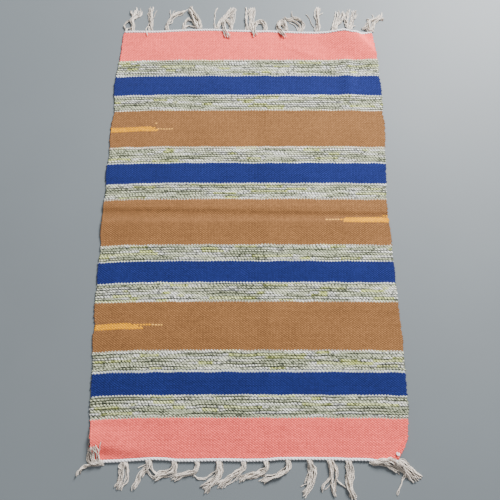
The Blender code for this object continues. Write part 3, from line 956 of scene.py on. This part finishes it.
# A yarn comes down to the floor within a run of its root. One that turns back climbs the rug
# as it nears the heading, once it has walked far enough, and only inside the side edges.
SETTLE_RUN = 24.0 * MM
CLIMB_START = 5.0 * MM
CLIMB_RUN = 7.0 * MM
TURN_BACK_START = 9.0 * MM
TURN_BACK_RUN = 12.0 * MM
EDGE_START = 2.0 * MM
EDGE_RUN = 4.0 * MM

# The tops of the yarns laid so far, in square cells of the floor.
PILE_CELL = 2.0 * MM
HIGHEST_PILE = 3.0 * YARN_THICKNESS
piled = {}


def round_track(root, end, places):
    """Rounds a lock's places into a track in metres that starts at the heading."""
    start = cloth_end(root * MM, end) / MM + end * (PIECE_GAP + HEADING_WIDTH - ROOT_OVERLAP) / MM
    track = [Vector((root, start)), *(Vector(place) for place in places)]
    track = [track[0] * 2.0 - track[1], *track, track[-1] * 2.0 - track[-2]]
    rounded = []
    for before, here, there, after in zip(track, track[1:], track[2:], track[3:]):
        steps = max(round((there - here).length), 1)
        for step in range(steps):
            share = step / steps
            bent = here * 2.0 + (there - before) * share
            bent += (before * 2.0 - here * 5.0 + there * 4.0 - after) * share ** 2
            bent += (here * 3.0 - before - there * 3.0 + after) * share ** 3
            rounded.append(bent * 0.5 * MM)
    rounded.append(track[-2] * MM)
    return rounded


def find_rest(x, y, walked, root_lift, end):
    """Gives the height that a yarn lies on: the floor or the rug, or the yarns laid before it."""
    base = root_lift * (1.0 - ease(walked / SETTLE_RUN))
    away = end * (y - cloth_end(x, end)) - PIECE_GAP - HEADING_WIDTH
    beside = abs(x) - read(EDGES, 2 if x > 0.0 else 1, y / MM) * MM
    over = ease((CLIMB_START - away) / CLIMB_RUN) * ease((walked - TURN_BACK_START) / TURN_BACK_RUN)
    over *= ease((EDGE_START - beside) / EDGE_RUN)
    base += (lift(x, y) + RUG_THICKNESS - base) * over
    pile = piled.get((round(x / PILE_CELL), round(y / PILE_CELL)), 0.0)
    return min(max(pile, base), base + HIGHEST_PILE)


def settle_yarn(path, thickness):
    """Lets a yarn bridge small hollows, rest on what lies below, and add to the pile."""
    heights = [place.z for place in path]
    for _ in range(2):
        padded = [heights[0], *heights, heights[-1]]
        triples = zip(padded, padded[1:], padded[2:])
        heights = [max(here, (before + after) / 2.0) for before, here, after in triples]
    padded = [heights[0], *heights, heights[-1]]
    for place, before, here, after in zip(path, padded, padded[1:], padded[2:]):
        place.z = (before + here * 2.0 + after) / 4.0 + 0.52 * thickness
    for place in path:
        cell = (round(place.x / PILE_CELL), round(place.y / PILE_CELL))
        piled[cell] = max(piled.get(cell, 0.0), place.z + 0.3 * thickness)


# A yarn keeps its slot in the lock at the root and drifts to another by the tip. It wanders
# slowly and wobbles quickly beside the track: how far, and how often to the millimetre.
SHORTEST_YARN = 0.86
THINNEST_YARN = 0.8
THICKEST_YARN = 1.1
TIP_SPREAD = 1.3
ROOT_FLARE = 0.4
SLOT_DRIFT = 0.9
WANDER = 3.6 * MM
WANDER_RATE = 0.05
WOBBLE = 2.2 * MM
WOBBLE_RATE = 0.13


def lay_yarn(track, widths, slot, tip, root_lift, end):
    """Lays a yarn of a lock along the lock's track, and gives its path and thickness."""
    length = (len(track) - 1) * chance.uniform(SHORTEST_YARN, 1.0)
    thickness = YARN_THICKNESS * chance.uniform(THINNEST_YARN, THICKEST_YARN)
    phase = chance.uniform(0.0, 100.0)
    steps = round(length * MM / YARN_STEP)
    path = []
    for step in range(steps + 1):
        share = step / steps
        at = length * step / steps
        low = min(int(at), len(track) - 2)
        middle = track[low] + (track[low + 1] - track[low]) * (at - low)
        way = (track[min(low + 3, len(track) - 1)] - track[max(low - 2, 0)]).normalized()
        width = (widths[0] + (widths[1] * TIP_SPREAD - widths[0]) * share) * MM
        flare = 1.0 + ROOT_FLARE * (1.0 - ease(at / 6.0))
        out = (slot + (tip - slot) * SLOT_DRIFT * ease(share)) * width * flare
        out += WANDER * ease(at / 14.0) * noise.noise(Vector((at * WANDER_RATE, phase, 0.0)))
        out += WOBBLE * ease(at / 10.0) * noise.noise(Vector((at * WOBBLE_RATE, phase, 4.0)))
        x = middle.x + way.y * out
        y = middle.y - way.x * out
        path.append(Vector((x, y, find_rest(x, y, at * MM, root_lift, end))))
    settle_yarn(path, thickness)
    return path, thickness


# Natural unbleached cotton yarn: soft, matt, a little grey and warm, with slanted plies.
# Its near-black dark is painted shade, for the ply grooves and the gaps among the yarns.
fringe_finish = yarn_finish("natural_cotton_yarn", "#FBEEDF", "#33291F", 0.9, 4.0 * MM, 1.0, 0.7)
chance = random.Random(11)
for which_end, end, table in (("far", 1, FAR_TASSELS), ("near", -1, NEAR_TASSELS)):
    for number, locks in enumerate(table, start=1):
        bm = bmesh.new()
        layer = bm.loops.layers.uv.new("yarn")
        laid = 0
        for yarns, root_width, tip_width, root, *places in locks:
            track = round_track(root, end, places)
            root_lift = lift(root * MM, cloth_end(root * MM, end))
            slots = [(count + 0.5) / yarns - 0.5 for count in range(yarns)]
            tips = chance.sample(slots, yarns)
            for slot, tip in zip(slots, tips):
                path, thickness = lay_yarn(track, (root_width, tip_width), slot, tip, root_lift, end)
                laid += 1
                spin_yarn(bm, layer, path, thickness, 6, number=laid)
        piece = add_spun_piece(f"tassel_yarns_{which_end}_{number:02d}", bm, fringe_finish)
        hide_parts(f"tassel_{which_end}_{number:02d}")
        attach(piece, "root")
